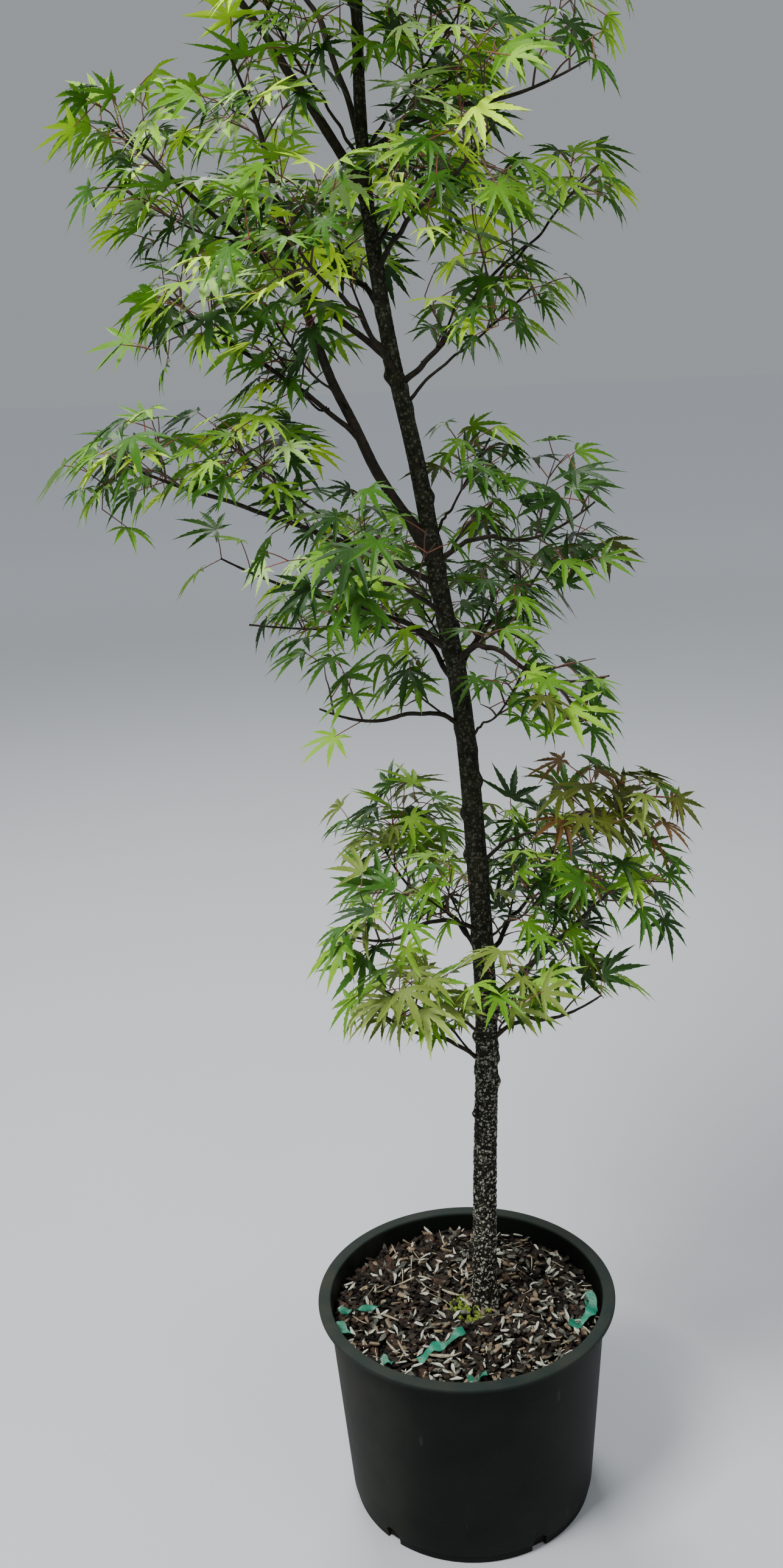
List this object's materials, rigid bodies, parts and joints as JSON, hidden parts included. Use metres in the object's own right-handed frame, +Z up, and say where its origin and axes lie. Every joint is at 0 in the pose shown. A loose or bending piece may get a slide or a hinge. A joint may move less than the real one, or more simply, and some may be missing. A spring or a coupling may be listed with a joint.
{
  "type": "potted tree",
  "caption": "Young rough-barked maple with a slender leaning trunk, thin rising boughs and open sprays of palm-shaped leaves, in a round tapered nursery pot.",
  "frame": {"origin": "centre of the pot's flat underside, on the ground that the pot stands on", "axes": "+Z up, +X to the viewer's right in the picture, -Y towards the viewer"},
  "size_m": [0.676, 0.482, 1.9928],
  "materials": {
    "pot": "satin",
    "growing_mix": "matte",
    "bark": "matte",
    "leaf_deep": "satin",
    "leaf_mid": "satin",
    "leaf_bright": "satin",
    "leaf_bronze": "satin"
  },
  "bodies": {
    "root": {"pot": "pot", "growing_mix": "growing_mix", "trunk": "bark", "left_leader": "bark", "middle_leader": "bark", "left_bough": "bark", "bough_low_left": "bark", "bough_low_left_drop": "bark", "bough_low_back_left": "bark", "bough_low_right": "bark", "bough_low_right_drop": "bark", "bough_low_back_right": "bark", "bough_middle_left_low": "bark", "bough_middle_left": "bark", "bough_left_reach": "bark", "bough_middle_front": "bark", "bough_middle_back_left": "bark", "bough_middle_right_low": "bark", "bough_middle_right": "bark", "bough_middle_back_right": "bark", "bough_upper_left_low": "bark", "bough_upper_left": "bark", "bough_upper_front_left": "bark", "bough_upper_front_right": "bark", "bough_upper_back_left": "bark", "bough_upper_back_right": "bark", "bough_upper_right_low": "bark", "bough_upper_right": "bark", "bough_top_front": "bark", "bough_top_right": "bark", "foliage_low_left": "leaf_deep", "foliage_low_left_drop": "leaf_mid", "foliage_low_back_left": "leaf_bright", "foliage_low_right": "leaf_bronze", "foliage_low_right_drop": "leaf_mid", "foliage_low_back_right": "leaf_bright", "foliage_middle_left_low": "leaf_deep", "foliage_middle_left": "leaf_mid", "foliage_left_reach": "leaf_bright", "foliage_middle_front": "leaf_deep", "foliage_middle_back_left": "leaf_mid", "foliage_middle_right_low": "leaf_bright", "foliage_middle_right": "leaf_deep", "foliage_middle_back_right": "leaf_mid", "foliage_upper_left_low": "leaf_bright", "foliage_upper_left": "leaf_deep", "foliage_upper_middle": "leaf_mid", "foliage_upper_front_left": "leaf_bright", "foliage_upper_front_right": "leaf_deep", "foliage_upper_back_left": "leaf_mid", "foliage_upper_back_right": "leaf_bright", "foliage_upper_right_low": "leaf_deep", "foliage_upper_right": "leaf_mid", "foliage_top_left": "leaf_bright", "foliage_top_middle": "leaf_deep", "foliage_top_front": "leaf_mid", "foliage_top_right": "leaf_bright", "foliage_top": "leaf_deep"}
  },
  "joints": []
}
